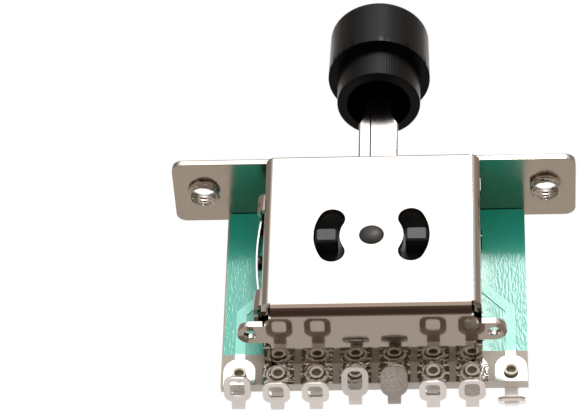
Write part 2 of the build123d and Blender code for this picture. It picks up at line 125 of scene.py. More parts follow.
@dataclass(frozen=True)
class Finish:
    """A surface finish with an even colour and a fine relief.

    Attributes:
        title: the material's name, which says what the real surface is.
        colour: its colour as sRGB hex.
        metallic: 1 for bare or plated metal, 0 for anything else.
        roughness: how blurred its reflections are.
        grain: the way its relief runs.
        grain_mm: the size of one grain of the relief.
        relief_mm: how deep the relief looks.
        coat: the share of a clear coat.
        coat_roughness: how blurred the coat's reflections are.
        cloud: how far its roughness wanders from place to place.
        cloud_mm: the size of the places where it does.
        shine: the share of the light that it mirrors, 0.5 for common plastics.
    """

    title: str
    colour: str
    metallic: float = 0.0
    roughness: float = 0.5
    grain: Grain = Grain.EVEN
    grain_mm: float = 0.3
    relief_mm: float = 0.0
    coat: float = 0.0
    coat_roughness: float = 0.1
    cloud: float = 0.0
    cloud_mm: float = 4.0
    shine: float = 0.5

    def material(self) -> Material:
        """Give the finish's material, made once."""
        found = bpy.data.materials.get(self.title)
        return found or self.make()

    def make(self) -> Material:
        """Make the finish's material.

        Returns:
            The new material.
        """
        made = bpy.data.materials.new(self.title)
        made.use_nodes = True
        tree = made.node_tree
        shader = tree.nodes["Principled BSDF"]
        shader.inputs["Base Color"].default_value = linear(self.colour)
        shader.inputs["Metallic"].default_value = self.metallic
        shader.inputs["Roughness"].default_value = self.roughness
        shader.inputs["Specular IOR Level"].default_value = self.shine
        shader.inputs["Coat Weight"].default_value = self.coat
        shader.inputs["Coat Roughness"].default_value = self.coat_roughness
        self.dress(tree, shader)
        return made

    def dress(self, tree: NodeTree, shader: Node) -> None:
        """Add the finish's patterns to its shader.

        Args:
            tree: the material's nodes.
            shader: its principled shader.
        """
        if self.relief_mm:
            self.add_relief(tree, shader)
        if self.cloud:
            self.add_cloud(tree, shader)

    def add_relief(self, tree: NodeTree, shader: Node) -> None:
        """Raise the fine relief of rolling, moulding or plating.

        Args:
            tree: the material's nodes.
            shader: its principled shader.
        """
        place = add_node(tree, "TexCoord").outputs["Object"]
        mapped = add_node(tree, "Mapping", {"Vector": place, "Scale": self.grain.value}).outputs[0]
        noise = add_node(
            tree, "TexNoise", {"Vector": mapped, "Scale": 1 / (self.grain_mm * MM), "Detail": 3.0}
        ).outputs["Fac"]
        bump = add_node(tree, "Bump", {"Height": noise, "Distance": self.relief_mm * MM})
        tree.links.new(bump.outputs[0], shader.inputs["Normal"])

    def add_cloud(self, tree: NodeTree, shader: Node) -> None:
        """Let the roughness wander, as handling and plating leave it.

        Args:
            tree: the material's nodes.
            shader: its principled shader.
        """
        place = add_node(tree, "TexCoord").outputs["Object"]
        noise = add_node(
            tree, "TexNoise", {"Vector": place, "Scale": 1 / (self.cloud_mm * MM), "Detail": 4.0}
        ).outputs["Fac"]
        wander = add_node(
            tree,
            "MapRange",
            {
                "Value": noise,
                "From Min": NOISE_LOW,
                "From Max": NOISE_HIGH,
                "To Min": self.roughness - self.cloud,
                "To Max": self.roughness + self.cloud,
            },
        ).outputs[0]
        tree.links.new(wander, shader.inputs["Roughness"])

    def paint_where(self, tree: NodeTree, shader: Node, mask: NodeSocket, colour: str) -> None:
        """Lay another colour over the finish's own.

        Args:
            tree: the material's nodes.
            shader: its principled shader.
            mask: 1 where the other colour shows, 0 elsewhere.
            colour: the other colour as sRGB hex.
        """
        paint = add_node(
            tree, "Mix", {0: mask, 6: linear(self.colour), 7: linear(colour)}, data_type="RGBA"
        ).outputs[2]
        tree.links.new(paint, shader.inputs["Base Color"])

    def soil_where(self, tree: NodeTree, shader: Node, mask: NodeSocket, colour: str) -> None:
        """Lay dirt or flux over the metal, which takes its shine away.

        Args:
            tree: the material's nodes.
            shader: its principled shader.
            mask: 1 where the dirt lies, 0 elsewhere.
            colour: the dirt's colour as sRGB hex.
        """
        self.paint_where(tree, shader, mask, colour)
        shine = add_node(
            tree, "MapRange", {"Value": mask, "To Min": self.metallic, "To Max": 0.0}
        ).outputs[0]
        tree.links.new(shine, shader.inputs["Metallic"])


@dataclass(frozen=True)
class BlankedPlate(Finish):
    """Plated sheet whose blanked edge has a dark line of painted shade at its top.

    Attributes:
        burr_and_painted_shade: the colour of the line of painted shade.
        top_mm: the height of the edge's top.
        line_mm: how far the line reaches down from the top.
        edge_slope: the Z of the normal below which a face belongs to the edge.
    """

    burr_and_painted_shade: str = "#2e2823"
    top_mm: float = 0.0
    line_mm: float = 0.11
    edge_slope: float = 0.6

    def dress(self, tree: NodeTree, shader: Node) -> None:
        """Paint shade along the top of the edge.

        Args:
            tree: the material's nodes.
            shader: its principled shader.
        """
        super().dress(tree, shader)
        place = add_node(tree, "TexCoord").outputs["Object"]
        height = add_node(tree, "SeparateXYZ", {"Vector": place}).outputs["Z"]
        high = add_node(
            tree,
            "Math",
            {0: height, 1: (self.top_mm - self.line_mm) * MM},
            operation="GREATER_THAN",
        ).outputs[0]
        normal = add_node(tree, "NewGeometry").outputs["Normal"]
        slope = add_node(tree, "SeparateXYZ", {"Vector": normal}).outputs["Z"]
        edge = add_node(
            tree, "Math", {0: slope, 1: self.edge_slope}, operation="LESS_THAN"
        ).outputs[0]
        line = add_node(tree, "Math", {0: high, 1: edge}, operation="MULTIPLY").outputs[0]
        # painted shade: a dark line of colour laid along the top of the edge
        self.paint_where(tree, shader, line, self.burr_and_painted_shade)


@dataclass(frozen=True)
class SprungSheet(BlankedPlate):
    """Plated sheet whose lower flap sprang back a little from its fold.

    Attributes:
        lean_deg: how far the flap's mirror leans to the front.
        lean_from: how much a face has to look down before its mirror leans at all.
        lean_full: how much it has to look down to lean all the way.
    """

    lean_deg: float = 4.2
    lean_from: float = 0.85
    lean_full: float = 0.99

    def dress(self, tree: NodeTree, shader: Node) -> None:
        """Lean the normals of what faces down, under the fine relief.

        Args:
            tree: the material's nodes.
            shader: its principled shader.
        """
        super().dress(tree, shader)
        normal = add_node(tree, "NewGeometry").outputs["Normal"]
        down = add_node(
            tree, "VectorMath", {0: normal, 1: (0, 0, -1)}, operation="DOT_PRODUCT"
        ).outputs["Value"]
        share = add_node(
            tree,
            "MapRange",
            {"Value": down, "From Min": self.lean_from, "From Max": self.lean_full},
        ).outputs[0]
        lean = (0.0, -math.tan(math.radians(self.lean_deg)), 0.0)
        pull = add_node(
            tree, "VectorMath", {0: lean, "Scale": share}, operation="SCALE"
        ).outputs[0]
        leaned = add_node(tree, "VectorMath", {0: normal, 1: pull}, operation="ADD").outputs[0]
        unit = add_node(tree, "VectorMath", {0: leaned}, operation="NORMALIZE").outputs[0]
        bump = shader.inputs["Normal"].links[0].from_node
        tree.links.new(unit, bump.inputs["Normal"])


@dataclass(frozen=True)
class MaskedBoard(Finish):
    """Green solder mask printed on glass laminate, bare along three edges.

    Attributes:
        laminate: the bare laminate's colour.
        sawn: the colour of its sawn lower edge.
        mask_low: the height, in millimetres, where the mask ends above the pads.
        mask_left: the X where the mask ends at the left edge.
        mask_right: the X where it ends at the right edge.
        sawn_low: the height under which the sawn edge shows.
        weave_deg: how far the weave's streaks lean.
    """

    laminate: str = "#a59b8d"
    sawn: str = "#cfc9c2"
    mask_low: float = -23.0
    mask_left: float = -17.73
    mask_right: float = 19.0
    sawn_low: float = -27.52
    weave_deg: float = 12.0

    def dress(self, tree: NodeTree, shader: Node) -> None:
        """Paint the mask inside its edges, on the weave.

        Args:
            tree: the material's nodes.
            shader: its principled shader.
        """
        place = add_node(tree, "TexCoord").outputs["Object"]
        axes = add_node(tree, "SeparateXYZ", {"Vector": place}).outputs
        above = self.inside(tree, axes["Z"], self.mask_low, 1)
        past_left = self.inside(tree, axes["X"], self.mask_left, 1)
        before_right = self.inside(tree, axes["X"], self.mask_right, -1)
        between = add_node(
            tree, "Math", {0: past_left, 1: before_right}, operation="MULTIPLY"
        ).outputs[0]
        masked = add_node(tree, "Math", {0: between, 1: above}, operation="MULTIPLY").outputs[0]
        paint = add_node(
            tree,
            "Mix",
            {0: masked, 6: linear(self.laminate), 7: linear(self.colour)},
            data_type="RGBA",
        ).outputs[2]
        edge = self.inside(tree, axes["Z"], self.sawn_low, -1)
        whole = add_node(
            tree, "Mix", {0: edge, 6: paint, 7: linear(self.sawn)}, data_type="RGBA"
        ).outputs[2]
        tree.links.new(whole, shader.inputs["Base Color"])
        tree.links.new(masked, shader.inputs["Coat Weight"])
        self.raise_weave(tree, shader)

    def raise_weave(self, tree: NodeTree, shader: Node) -> None:
        """Raise the glass weave under the mask.

        Args:
            tree: the material's nodes.
            shader: its principled shader.
        """
        place = add_node(tree, "TexCoord").outputs["Object"]
        turned = (0, math.radians(self.weave_deg), 0)
        mapped = add_node(
            tree, "Mapping", {"Vector": place, "Scale": self.grain.value, "Rotation": turned}
        ).outputs[0]
        weave = add_node(
            tree,
            "TexNoise",
            {"Vector": mapped, "Scale": 1 / (self.grain_mm * MM), "Detail": 1.0, "Roughness": 0.6},
        ).outputs["Fac"]
        bump = add_node(
            tree, "Bump", {"Height": weave, "Distance": self.relief_mm * MM}
        ).outputs[0]
        tree.links.new(bump, shader.inputs["Normal"])
        tree.links.new(bump, shader.inputs["Coat Normal"])

    def inside(self, tree: NodeTree, along: NodeSocket, edge: float, side: int) -> NodeSocket:
        """Tell on which side of a straight edge a place is.

        Args:
            tree: the material's nodes.
            along: the coordinate that the edge crosses.
            edge: where the edge is, in millimetres.
            side: 1 to ask for what lies above the edge, -1 for what lies below.

        Returns:
            1 on the side that is asked for and 0 beyond the edge.
        """
        word = "GREATER_THAN" if side > 0 else "LESS_THAN"
        return add_node(tree, "Math", {0: along, 1: edge * MM}, operation=word).outputs[0]


@dataclass(frozen=True)
class PrintedTrack(Finish):
    """Printed copper: under green mask above the pads, tinned below.

    Attributes:
        tin: the tinned pads' colour.
        tin_roughness: how blurred the tin's reflections are.
        lump_mm: how large the lumps of tin on the inner pads are.
        lump_from: the noise above which a lump starts to rise.
        lump_full: the noise where it is at its full height.
        wrinkle_mm: how deep these lumps look.
        mask_low: the height, in millimetres, where the mask ends.
        inner_mm: how far from the middle the wrinkled pads reach.
    """

    tin: str = "#d6d1c8"
    tin_roughness: float = 0.12
    lump_mm: float = 0.75
    lump_from: float = 0.42
    lump_full: float = 0.68
    wrinkle_mm: float = 0.14
    mask_low: float = -23.0
    inner_mm: float = 13.6

    def dress(self, tree: NodeTree, shader: Node) -> None:
        """Tin what lies below the mask's edge, and let the tin stand in wrinkles.

        Args:
            tree: the material's nodes.
            shader: its principled shader.
        """
        place = add_node(tree, "TexCoord").outputs["Object"]
        axes = add_node(tree, "SeparateXYZ", {"Vector": place}).outputs
        bare = add_node(
            tree, "Math", {0: axes["Z"], 1: self.mask_low * MM}, operation="LESS_THAN"
        ).outputs[0]
        self.paint_where(tree, shader, bare, self.tin)
        tree.links.new(bare, shader.inputs["Metallic"])
        polish = add_node(
            tree,
            "MapRange",
            {"Value": bare, "To Min": self.roughness, "To Max": self.tin_roughness},
        ).outputs[0]
        tree.links.new(polish, shader.inputs["Roughness"])
        aside = add_node(tree, "Math", {0: axes["X"]}, operation="ABSOLUTE").outputs[0]
        inner = add_node(
            tree, "Math", {0: aside, 1: self.inner_mm * MM}, operation="LESS_THAN"
        ).outputs[0]
        self.wrinkle(tree, shader, bare, inner)

    def wrinkle(self, tree: NodeTree, shader: Node, bare: NodeSocket, inner: NodeSocket) -> None:
        """Raise the mask's grain, and the lumps of tin on the inner pads.

        Args:
            tree: the material's nodes.
            shader: its principled shader.
            bare: 1 where the tin is bare.
            inner: 1 where an inner pad is.
        """
        place = add_node(tree, "TexCoord").outputs["Object"]
        noise = add_node(
            tree, "TexNoise", {"Vector": place, "Scale": 1 / (self.grain_mm * MM), "Detail": 3.0}
        ).outputs["Fac"]
        clouds = add_node(
            tree, "TexNoise", {"Vector": place, "Scale": 1 / (self.lump_mm * MM), "Detail": 1.0}
        ).outputs["Fac"]
        lumps = add_node(
            tree,
            "MapRange",
            {"Value": clouds, "From Min": self.lump_from, "From Max": self.lump_full},
            interpolation_type="SMOOTHSTEP",
        ).outputs[0]
        crumpled = add_node(tree, "Math", {0: bare, 1: inner}, operation="MULTIPLY").outputs[0]
        covered = add_node(tree, "Math", {0: 1.0, 1: bare}, operation="SUBTRACT").outputs[0]
        grain = add_node(tree, "Math", {0: noise, 1: covered}, operation="MULTIPLY").outputs[0]
        height = add_node(
            tree, "Math", {0: lumps, 1: crumpled, 2: grain}, operation="MULTIPLY_ADD"
        ).outputs[0]
        depth = add_node(
            tree,
            "MapRange",
            {"Value": crumpled, "To Min": self.relief_mm * MM, "To Max": self.wrinkle_mm * MM},
        ).outputs[0]
        bump = add_node(tree, "Bump", {"Height": height, "Distance": depth}).outputs[0]
        tree.links.new(bump, shader.inputs["Normal"])
        tree.links.new(bump, shader.inputs["Coat Normal"])


@dataclass(frozen=True)
class TopShadedTin(Finish):
    """Tin on a solder lug, with painted shade on the upper side of its arm.

    Attributes:
        top_shade: the colour of the painted shade on the arm's upper side.
        leg_mm: the Y in front of which the arm lies.
        turn: how far the lug's arm is raised, in degrees.
        hinge_mm: the Y and Z of the arm's root, on the middle of the sheet.
    """

    top_shade: str = "#998a7e"
    leg_mm: float = 5.2
    turn: float = 0.0
    hinge_mm: tuple[float, float] = (5.55, -30.1)

    def dress(self, tree: NodeTree, shader: Node) -> None:
        """Paint shade on what lies above the middle of the arm's sheet.

        Args:
            tree: the material's nodes.
            shader: its principled shader.
        """
        super().dress(tree, shader)
        place = add_node(tree, "TexCoord").outputs["Object"]
        lean = math.radians(self.turn)
        y_mm, z_mm = self.hinge_mm
        level = add_node(
            tree,
            "VectorMath",
            {0: place, 1: (0, math.sin(lean), math.cos(lean))},
            operation="DOT_PRODUCT",
        ).outputs["Value"]
        root = (y_mm * math.sin(lean) + z_mm * math.cos(lean)) * MM
        above = add_node(tree, "Math", {0: level, 1: root}, operation="GREATER_THAN").outputs[0]
        axes = add_node(tree, "SeparateXYZ", {"Vector": place}).outputs
        before = add_node(
            tree, "Math", {0: axes["Y"], 1: self.leg_mm * MM}, operation="LESS_THAN"
        ).outputs[0]
        shaded_top = add_node(tree, "Math", {0: above, 1: before}, operation="MULTIPLY").outputs[0]
        # painted shade: the arm's upper side is darkened, as the cover above shades it
        self.paint_where(tree, shader, shaded_top, self.top_shade)


@dataclass(frozen=True)
class ClinchedEyelet(Finish):
    """A clinched eyelet, bright at its rolled rim, with flux left in its cup.

    Attributes:
        flux: the flux's colour.
        cup_mm: the Y behind which the flux lies.
    """

    flux: str = "#8a7f66"
    cup_mm: float = 3.72

    def dress(self, tree: NodeTree, shader: Node) -> None:
        """Leave flux in the cup.

        Args:
            tree: the material's nodes.
            shader: its principled shader.
        """
        super().dress(tree, shader)
        place = add_node(tree, "TexCoord").outputs["Object"]
        axes = add_node(tree, "SeparateXYZ", {"Vector": place}).outputs
        deep = add_node(
            tree, "Math", {0: axes["Y"], 1: self.cup_mm * MM}, operation="GREATER_THAN"
        ).outputs[0]
        self.soil_where(tree, shader, deep, self.flux)


@dataclass(frozen=True)
class SeamedStrip(Finish):
    """Nickel on a strip that is folded double, with grime in the seam.

    Attributes:
        grime: the grime's colour.
        seam_x_mm: where the seam runs.
        seam_mm: how wide it looks.
        face_mm: the Y of the strip's front face.
    """

    grime: str = "#1f1916"
    seam_x_mm: float = -0.51
    seam_mm: float = 0.16
    face_mm: float = -0.8

    def dress(self, tree: NodeTree, shader: Node) -> None:
        """Darken the seam on the front face.

        Args:
            tree: the material's nodes.
            shader: its principled shader.
        """
        super().dress(tree, shader)
        place = add_node(tree, "TexCoord").outputs["Object"]
        axes = add_node(tree, "SeparateXYZ", {"Vector": place}).outputs
        near = add_node(
            tree,
            "Math",
            {0: axes["X"], 1: self.seam_x_mm * MM, 2: self.seam_mm / 2 * MM},
            operation="COMPARE",
        ).outputs[0]
        front = add_node(
            tree, "Math", {0: axes["Y"], 1: 0.5 * self.face_mm * MM}, operation="LESS_THAN"
        ).outputs[0]
        dirty = add_node(tree, "Math", {0: near, 1: front}, operation="MULTIPLY").outputs[0]
        self.soil_where(tree, shader, dirty, self.grime)


@dataclass(frozen=True)
class TurnedKnob(Finish):
    """Black knob plastic with fine ribs along its neck.

    Attributes:
        rim_mm: where the knob's axis passes the barrel's rim, above which there are no ribs.
        lean: how far the knob leans back, in degrees.
        ribs: how many ribs go round the neck.
        rib_mm: how deep a rib looks.
    """

    rim_mm: tuple[float, float, float] = (0.45, 0.0, 17.45)
    lean: float = 5.0
    ribs: int = 100
    rib_mm: float = 0.006

    def dress(self, tree: NodeTree, shader: Node) -> None:
        """Raise the ribs of the neck out of the moulded surface.

        Args:
            tree: the material's nodes.
            shader: its principled shader.
        """
        place = add_node(tree, "TexCoord").outputs["Object"]
        rim = tuple(c * MM for c in self.rim_mm)
        tilt = (math.radians(-self.lean), 0, 0)
        upright = add_node(
            tree,
            "Mapping",
            {"Vector": place, "Location": rim, "Rotation": tilt},
            vector_type="TEXTURE",
        ).outputs[0]
        axes = add_node(tree, "SeparateXYZ", {"Vector": upright}).outputs
        turn = add_node(tree, "Math", {0: axes["Y"], 1: axes["X"]}, operation="ARCTAN2").outputs[0]
        count = add_node(
            tree, "Math", {0: turn, 1: float(self.ribs)}, operation="MULTIPLY"
        ).outputs[0]
        wave = add_node(tree, "Math", {0: count}, operation="SINE").outputs[0]
        below = add_node(tree, "Math", {0: axes["Z"], 1: 0.0}, operation="LESS_THAN").outputs[0]
        ridge = add_node(tree, "Math", {0: wave, 1: below}, operation="MULTIPLY").outputs[0]
        bump = add_node(tree, "Bump", {"Height": ridge, "Distance": self.rib_mm * MM}).outputs[0]
        tree.links.new(bump, shader.inputs["Normal"])
        self.add_cloud(tree, shader)


# Bright nickel over rolled steel: a slightly warm mirror with a faint, fine unevenness.
NICKEL = Finish(
    "bright nickel plate", "#cbc4bc", metallic=1, roughness=0.07, relief_mm=0.0006, cloud=0.015
)
# The cover has the same nickel, on a sheet whose flap sprang back a little, with a line of painted
# shade along its top edge.
COVER_NICKEL = SprungSheet(
    "bright nickel on folded sheet",
    "#cbc4bc",
    metallic=1,
    roughness=0.07,
    relief_mm=0.0006,
    cloud=0.015,
    burr_and_painted_shade="#4a403a",
    top_mm=-0.55,
)
# The stamped plate kept its rolled skin under the nickel: its mirror is soft and clouded, and its
# blanked edge has a line of painted shade along its top.
PLATE_NICKEL = BlankedPlate(
    "nickel over rolled skin",
    "#c7beb3",
    metallic=1,
    roughness=0.19,
    grain_mm=0.5,
    relief_mm=0.003,
    cloud=0.1,
)
# The lever's nickel lies on folded strip, whose fine grain speckles its mirror.
LEVER_NICKEL = SeamedStrip(
    "drawn nickel plate",
    "#d6d0ca",
    metallic=1,
    roughness=0.12,
    grain_mm=0.16,
    relief_mm=0.006,
    cloud=0.04,
)
# Electro-tinned brass dulls a little and holds a milky, uneven shine. Each bent arm has its own
# turn, because shade is painted on its upper side.
TIN = TopShadedTin(
    "dull tin plate",
    "#efebe7",
    metallic=0.25,
    roughness=0.36,
    grain_mm=0.5,
    relief_mm=0.03,
    coat=0.5,
    coat_roughness=0.12,
    cloud=0.08,
)
RAISED_TIN = replace(TIN, title="dull tin plate on a raised arm", turn=38.0)
WETTED_TIN = replace(
    TIN,
    title="tin wetted with solder",
    colour="#b3aaa4",
    turn=38.0,
    grain_mm=0.6,
    relief_mm=0.25,
)
FIRST_TIN = replace(TIN, title="dull tin plate on the first arm", turn=12.0)
LOWERED_TIN = replace(
    TIN, title="dull tin plate on a lowered arm", turn=-30.0, hinge_mm=(5.55, -29.85)
)
# A clinched eyelet is stretched bright round its rolled rim.
EYELET_TIN = ClinchedEyelet(
    "clinched bright tin", "#f4ece0", metallic=0.25, roughness=0.2, cloud=0.05
)
# Solder sets with a smooth skin, wrinkled where it cooled last.
SOLDER = Finish(
    "set solder", "#cdc4bc", metallic=0.6, roughness=0.24, grain_mm=0.8, relief_mm=0.9, cloud=0.06
)
# The solder round an eyelet is a bright, lumpy bead that sparkles beside its own shade.
FILLET = Finish(
    "solder round an eyelet",
    "#e8e4dc",
    metallic=0.7,
    roughness=0.16,
    grain_mm=0.35,
    relief_mm=0.1,
)
# Rolled spring steel keeps the grey of its tempering and a fine grain.
SPRING_STEEL = Finish(
    "tempered spring steel",
    "#b9b8b6",
    metallic=1,
    roughness=0.2,
    grain=Grain.ROLLED_ALONG_Z,
    relief_mm=0.002,
)
# An oiled steel pin looks nearly black beside the nickel.
DARK_STEEL = Finish(
    "blackened steel", "#403e3d", metallic=1, roughness=0.42, relief_mm=0.03, cloud=0.1
)
# Phosphor bronze strip is warm and bright where the wipers bend.
BRONZE = Finish("phosphor bronze strip", "#c98f52", metallic=1, roughness=0.25)
# Glass-filled nylon is black with a soft, slightly grained sheen.
NYLON = Finish(
    "black moulded nylon", "#17171a", roughness=0.38, grain_mm=0.25, relief_mm=0.006, cloud=0.05
)
# The knob is turned from a black moulding and is smoother, with a ribbed neck.
KNOB = TurnedKnob("black knob plastic", "#040405", roughness=0.3, cloud=0.04, shine=0.17)
# A thin glossy mask shows the weave of the glass cloth as streaks in its shine.
BOARD = MaskedBoard(
    "green solder mask on glass laminate",
    "#14b097",
    roughness=0.45,
    grain=Grain.FLOWED,
    grain_mm=0.24,
    relief_mm=0.036,
    coat=1.0,
    coat_roughness=0.22,
)
# Copper lifts the mask over it to a paler green.
TRACK = PrintedTrack(
    "masked copper and tinned pads",
    "#74dcc6",
    roughness=0.4,
    grain_mm=0.24,
    relief_mm=0.03,
    coat=1.0,
    coat_roughness=0.24,
)


def deselect() -> None:
    """Leave edit mode and deselect every object."""
    if bpy.context.object and bpy.context.object.mode != "OBJECT":
        bpy.ops.object.mode_set(mode="OBJECT")
    bpy.ops.object.select_all(action="DESELECT")


def activate(piece: Object) -> None:
    """Select one piece alone and make it the active one.

    Args:
        piece: the piece.
    """
    deselect()
    piece.select_set(True)
    bpy.context.view_layer.objects.active = piece


def apply_modifier(piece: Object, kind: str, **settings: object) -> None:
    """Add a modifier to a piece and apply it.

    Args:
        piece: the piece that is modified.
        kind: the modifier's type, such as "BEVEL".
        **settings: properties of the modifier.
    """
    activate(piece)
    modifier = piece.modifiers.new(kind.title(), kind)
    for name, value in settings.items():
        setattr(modifier, name, value)
    bpy.ops.object.modifier_apply(modifier=modifier.name)


def settle(piece: Object, name: str, finish: Finish, body: str) -> Object:
    """Name a finished piece, give it its finish and let it ride on a body.

    Args:
        piece: the piece.
        name: its name.
        finish: its finish.
        body: the body that carries it.

    Returns:
        The piece.
    """
    piece.name = name
    piece.data.name = name
    piece.data.materials.clear()
    piece.data.materials.append(finish.material())
    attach(piece, body)
    LOG.info("%s: %d faces, %s", name, len(piece.data.polygons), finish.title)
    return piece


@dataclass
class DressedSolid:
    """A solid shown by a copy with broken edges.

    Attributes:
        node: the solid's node.
        finish: what its surface is.
        slot: the record's material slot; not used.
        edge_mm: the width of the broken edges.
        sharp: edges that turn more than this many degrees are broken.
    """

    node: str
    finish: Finish
    slot: str
    edge_mm: float = 0.08
    sharp: float = 35.0

    def build(self) -> Object:
        """Copy the solid, merge it, break its edges and dress it.

        Returns:
            The piece that stands for the solid.
        """
        source = frame["nodes"][self.node]
        activate(source)
        bpy.ops.object.duplicate()
        piece = bpy.context.object
        body = source["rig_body"]
        # The copy must not pass for the solid's own node.
        for key in list(piece.keys()):
            del piece[key]
        piece.parent = None
        piece.matrix_world = Matrix.Identity(4)
        self.break_edges(piece)
        settle(piece, f"{self.node}_finished", self.finish, body)
        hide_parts(self.node)
        return piece

    def break_edges(self, piece: Object) -> None:
        """Merge a copy's loose triangles and break its sharp edges.

        Args:
            piece: the copy.
        """
        activate(piece)
        bpy.ops.object.mode_set(mode="EDIT")
        bpy.ops.mesh.select_all(action="SELECT")
        bpy.ops.mesh.remove_doubles(threshold=MERGE_MM * MM)
        bpy.ops.mesh.dissolve_limited(angle_limit=math.radians(FLAT_DEG))
        bpy.ops.object.mode_set(mode="OBJECT")
        if self.edge_mm:
            apply_modifier(
                piece,
                "BEVEL",
                width=self.edge_mm * MM,
                segments=2,
                limit_method="ANGLE",
                angle_limit=math.radians(self.sharp),
                miter_outer="MITER_ARC",
            )
        activate(piece)
        bpy.ops.object.shade_smooth_by_angle(angle=math.radians(self.sharp))
        apply_modifier(piece, "WEIGHTED_NORMAL", keep_sharp=True)


@dataclass
class ScrewThread:
    """The thread that a tap cuts in a hole, as one ridge that winds up its wall.

    Attributes:
        x_mm: where the hole's axis stands.
        root_mm: the radius where the ridge meets the wall.
        crest_mm: the radius of its crest.
        pitch_mm: how far it climbs in a turn.
        low_mm: the height where it starts.
        turns: how many turns it makes.
        steps: how many sides a turn has.
        half_width: half the ridge's width at its root, as a share of the pitch.
        sharp: edges that turn more than this many degrees stay sharp.
    """

    x_mm: float
    root_mm: float = 1.49
    crest_mm: float = 1.32
    pitch_mm: float = 0.5
    low_mm: float = -1.45
    turns: int = 2
    steps: int = 36
    half_width: float = 0.4
    sharp: float = 40.0

    def build(self, name: str) -> Object:
        """Wind the ridge and set it in its hole.

        Args:
            name: the piece's name.

        Returns:
            The thread.
        """
        deselect()
        half = self.pitch_mm * self.half_width
        bpy.ops.mesh.primitive_circle_add(vertices=3, radius=half * MM, fill_type="NOTHING")
        piece = bpy.context.object
        places = [(self.root_mm, -half), (self.root_mm, half), (self.crest_mm, 0)]
        for vertex, (radius, height) in zip(piece.data.vertices, places):
            vertex.co = Vector((radius, 0, height)) * MM
        apply_modifier(
            piece,
            "SCREW",
            angle=2 * math.pi,
            screw_offset=self.pitch_mm * MM,
            iterations=self.turns,
            steps=self.steps,
            render_steps=self.steps,
            use_smooth_shade=False,
        )
        activate(piece)
        bpy.ops.object.mode_set(mode="EDIT")
        bpy.ops.mesh.select_all(action="DESELECT")
        bpy.ops.mesh.select_non_manifold()
        bpy.ops.mesh.edge_face_add()
        bpy.ops.mesh.select_all(action="SELECT")
        bpy.ops.mesh.normals_make_consistent(inside=False)
        rise = (self.low_mm + half) * MM
        bpy.ops.transform.translate(value=(self.x_mm * MM, 0, rise))
        bpy.ops.object.mode_set(mode="OBJECT")
        bpy.ops.object.shade_smooth_by_angle(angle=math.radians(self.sharp))
        return settle(piece, name, NICKEL, "housing")


@dataclass
class LumpyRing:
    """A ring of torn or molten metal, whose lumps come from a clouded displacement.

    Attributes:
        centre_mm: its middle.
        radius_mm: the radius of its middle line.
        thick_mm: the radius of its section.
        lump_mm: how far its lumps stand out.
        grain_mm: the size of its lumps.
        finish: what its surface is.
        facing: the turn, in radians, that lays its axis along Z or Y.
        sides: how many sides it has along its way and round its section.
    """

    centre_mm: tuple[float, float, float]
    radius_mm: float
    thick_mm: float
    lump_mm: float
    grain_mm: float
    finish: Finish
    facing: tuple[float, float, float] = (0.0, 0.0, 0.0)
    sides: tuple[int, int] = (64, 12)

    def build(self, name: str) -> Object:
        """Lay the ring, raise its lumps and let it ride on the housing.

        Args:
            name: the piece's name.

        Returns:
            The ring.
        """
        deselect()
        bpy.ops.mesh.primitive_torus_add(
            major_radius=self.radius_mm * MM,
            minor_radius=self.thick_mm * MM,
            major_segments=self.sides[0],
            minor_segments=self.sides[1],
        )
        piece = bpy.context.object
        piece.location = Vector(self.centre_mm) * MM
        piece.rotation_euler = self.facing
        bpy.ops.object.transform_apply(location=True, rotation=True, scale=False)
        clouds = bpy.data.textures.new(f"{name}_lumps", "CLOUDS")
        clouds.noise_scale = self.grain_mm * MM
        apply_modifier(piece, "DISPLACE", texture=clouds, strength=self.lump_mm * MM)
        bpy.ops.object.shade_smooth()
        return settle(piece, name, self.finish, "housing")


@dataclass
class PlateAssembly:
    """The mounting plate with its two tapped collars, torn a little by the punch.

    Attributes:
        edge_mm: the width of the plate's broken edges.
        hole_x_mm: the distance of each hole's axis from the middle.
        burr_z_mm: the height of the torn metal round a collar.
        burr_radius_mm: how far from the hole's axis it runs.
        lip_z_mm: the height of the lip round the collar's mouth.
        lip_radius_mm: how far from the hole's axis that runs.
    """

    edge_mm: float = 0.1
    hole_x_mm: float = 20.65
    burr_z_mm: float = -1.35
    burr_radius_mm: float = 1.8
    lip_z_mm: float = -1.62
    lip_radius_mm: float = 1.63

    def build(self) -> None:
        """Build the plate, and each collar's thread, ring of torn metal and lip."""
        DressedSolid("mounting_plate", PLATE_NICKEL, "nickel_plate", self.edge_mm).build()
        for side, word in ((-1, "left"), (1, "right")):
            self.build_collar(side * self.hole_x_mm, word)

    def build_collar(self, x_mm: float, word: str) -> None:
        """Build what the tap and the punch left at one collar.

        Args:
            x_mm: where the collar stands.
            word: the side that its pieces are named for.
        """
        ScrewThread(x_mm).build(f"thread_{word}")
        # A real ring of torn metal round the collar's mouth.
        burr_and_painted_shade = LumpyRing(
            centre_mm=(x_mm, 0.0, self.burr_z_mm),
            radius_mm=self.burr_radius_mm,
            thick_mm=0.12,
            lump_mm=0.8,
            grain_mm=0.8,
            finish=NICKEL,
        )
        burr_and_painted_shade.build(f"burr_{word}")
        lip = LumpyRing(
            centre_mm=(x_mm, 0.0, self.lip_z_mm),
            radius_mm=self.lip_radius_mm,
            thick_mm=0.08,
            lump_mm=0.2,
            grain_mm=0.6,
            finish=NICKEL,
        )
        lip.build(f"lip_{word}")


@dataclass
class BoxAssembly:
    """The folded cover with the pivot pin and the leaf spring that it holds.

    Attributes:
        cover_edge_mm: the width of the cover's broken edges.
        pin_edge_mm: the width of the pin's.
        spring_edge_mm: the width of the spring's.
    """

    cover_edge_mm: float = 0.09
    pin_edge_mm: float = 0.12
    spring_edge_mm: float = 0.04

    def build(self) -> None:
        """Build the cover, the pin and the spring."""
        DressedSolid("box_cover", COVER_NICKEL, "nickel_plate", self.cover_edge_mm).build()
        DressedSolid("pivot_pin", DARK_STEEL, "pin_steel", self.pin_edge_mm).build()
        DressedSolid("detent_spring", SPRING_STEEL, "spring_steel", self.spring_edge_mm).build()


